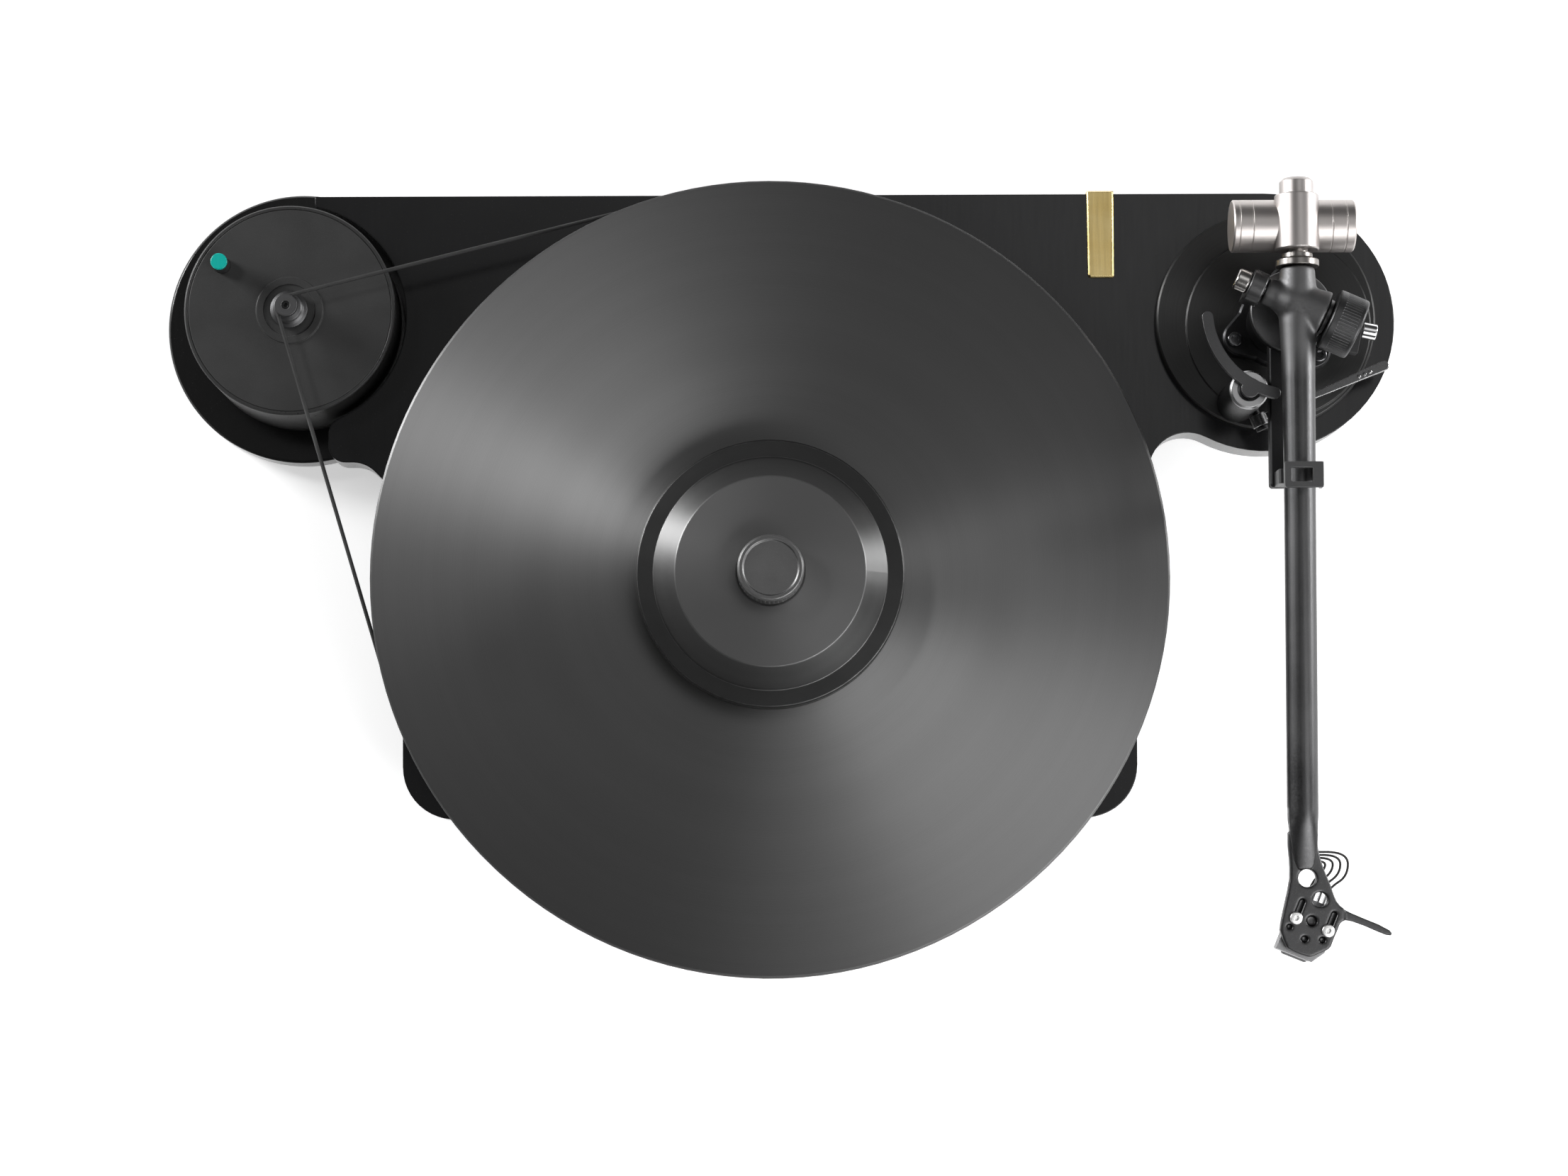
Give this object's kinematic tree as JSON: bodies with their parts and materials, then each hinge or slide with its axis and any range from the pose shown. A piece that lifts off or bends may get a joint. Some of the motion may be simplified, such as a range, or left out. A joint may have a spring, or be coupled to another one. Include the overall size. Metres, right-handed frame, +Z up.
{
  "type": "turntable record player",
  "caption": "Belt-driven turntable with a wide turned platter, record clamp, shaped glossy plinth on cone feet, free-standing motor unit and a straight cast tonearm in its rest.",
  "frame": {"origin": "on the table under the middle of the whole footprint, from the motor base to the arm end and from the platter's front to the motor base's back", "axes": "+X to the right towards the tonearm, +Y to the back towards the counterweight, +Z up"},
  "size_m": [0.4767, 0.3079, 0.107],
  "materials": {
    "acrylic_black": "polished",
    "platter_dark": "fine turned, dark",
    "anodised_black": "satin",
    "anodised_grey": "satin",
    "arm_satin": "satin",
    "chrome": "polished",
    "nickel": "satin",
    "steel": "turned",
    "bronze": "turned",
    "brass_plate": "polished",
    "rubber_black": "matt",
    "felt": "matt",
    "black_plastic": "matt",
    "grey_plastic": "matt",
    "teal_cap": "gloss",
    "board_green": "matt",
    "lead_insulation": "matt"
  },
  "bodies": {
    "deck": {"plinth": "acrylic_black", "badge_plate": "brass_plate", "bearing_base": "steel", "bearing_shaft": "steel", "thrust_ball": "chrome", "bearing_screws": "steel", "foot_lock_rings": "anodised_black", "motor_base_pads": "rubber_black", "motor_base": "anodised_black", "motor_can": "anodised_black", "power_inlet": "black_plastic", "motor_lid": "anodised_black", "motor_body": "steel", "motor_board": "board_green", "switch_body": "black_plastic", "drive_belt": "rubber_black", "armboard": "anodised_grey", "armboard_screws": "steel", "arm_base": "anodised_black", "arm_base_bolts": "steel", "arm_pillar": "arm_satin", "arm_nut": "steel", "rest_bar": "arm_satin", "rest_clip": "grey_plastic", "lift_cylinder": "anodised_black", "lift_ring": "chrome", "lever_pin": "steel", "bias_rail": "black_plastic"},
    "left_foot": {"left_foot": "anodised_black"},
    "right_foot": {"right_foot": "anodised_black"},
    "rear_foot": {"rear_foot": "anodised_black"},
    "platter": {"platter": "platter_dark", "platter_hub": "steel", "bearing_sleeve": "bronze", "spindle": "chrome"},
    "pulley": {"pulley": "anodised_grey", "motor_shaft": "steel", "pulley_grub_screw": "steel"},
    "clamp": {"clamp_body": "anodised_black", "clamp_pad": "felt", "clamp_collet": "bronze"},
    "clamp_knob": {"clamp_knob": "anodised_black"},
    "power_button": {"power_button": "black_plastic", "button_cap": "teal_cap"},
    "lift_lever": {"lift_lever": "chrome"},
    "lift_cradle": {"lift_cradle": "arm_satin"},
    "bias_knob": {"bias_knob": "chrome"},
    "arm_yoke": {"arm_yoke": "arm_satin", "yaw_shaft": "steel", "pitch_axle": "steel", "axle_nut": "chrome"},
    "force_dial": {"force_dial": "anodised_black"},
    "tonearm": {"arm_tube": "arm_satin", "headshell_screws": "nickel", "cartridge_body": "black_plastic", "stylus_holder": "grey_plastic", "cartridge_leads": "lead_insulation", "arm_stub": "steel"},
    "counterweight": {"counterweight_body": "nickel", "counterweight_barrel": "nickel"}
  },
  "joints": [
    {"name": "platter_spin", "type": "hinge", "parent": "deck", "child": "platter", "pos_m": [-0.00265, -0.0038, 0.06], "axis": [0, 0, 1], "continuous": true},
    {"name": "pulley_spin", "type": "hinge", "parent": "deck", "child": "pulley", "pos_m": [-0.18535, 0.1008, 0.06], "axis": [0, 0, 1], "continuous": true},
    {"name": "clamp_lift", "type": "slide", "parent": "platter", "child": "clamp", "axis": [0, 0, 1], "range_m": [0, 0.05]},
    {"name": "clamp_knob_turn", "type": "hinge", "parent": "clamp", "child": "clamp_knob", "pos_m": [-0.00265, -0.0038, 0.098], "axis": [0, 0, 1], "range_deg": [0, 270]},
    {"name": "button_press", "type": "slide", "parent": "deck", "child": "power_button", "axis": [0, 0, -1], "range_m": [0, 0.002], "stiffness_N_per_m": 400},
    {"name": "left_foot_turn", "type": "hinge", "parent": "deck", "child": "left_foot", "pos_m": [-0.1232, -0.0734, 0.015], "axis": [0, 0, 1], "continuous": true},
    {"name": "right_foot_turn", "type": "hinge", "parent": "deck", "child": "right_foot", "pos_m": [0.1179, -0.0734, 0.015], "axis": [0, 0, 1], "continuous": true},
    {"name": "rear_foot_turn", "type": "hinge", "parent": "deck", "child": "rear_foot", "pos_m": [-0.00265, 0.1354, 0.015], "axis": [0, 0, 1], "continuous": true},
    {"name": "arm_swing", "type": "hinge", "parent": "deck", "child": "arm_yoke", "pos_m": [0.19295, 0.0947, 0.08], "axis": [0, 0, 1], "range_deg": [-47, 0]},
    {"name": "arm_pitch", "type": "hinge", "parent": "arm_yoke", "child": "tonearm", "pos_m": [0.19295, 0.0947, 0.093], "axis": [-0.915, 0.4035, 0], "range_deg": [-1, 4.5]},
    {"name": "force_dial_turn", "type": "hinge", "parent": "arm_yoke", "child": "force_dial", "pos_m": [0.19295, 0.0947, 0.093], "axis": [0.915, -0.4035, 0], "range_deg": [-150, 150]},
    {"name": "counterweight_slide", "type": "slide", "parent": "tonearm", "child": "counterweight", "axis": [0, 1, 0], "range_m": [-0.0008, 0.008]},
    {"name": "lift_lever_turn", "type": "hinge", "parent": "deck", "child": "lift_lever", "pos_m": [0.18315, 0.0576, 0.058], "axis": [0.3907, -0.9205, 0], "range_deg": [0, 34]},
    {"name": "lift_raise", "type": "slide", "parent": "deck", "child": "lift_cradle", "axis": [0, 0, 1], "range_m": [0, 0.00214]},
    {"name": "bias_slide", "type": "slide", "parent": "deck", "child": "bias_knob", "axis": [0.1994, 0.9799, 0], "range_m": [-0.004, 0.004]}
  ],
  "couplings": [
    {"joint": "pulley_spin", "follows": "platter_spin", "ratio": 36.938},
    {"joint": "lift_raise", "follows": "lift_lever_turn", "m_per_rad": 0.0036}
  ]
}
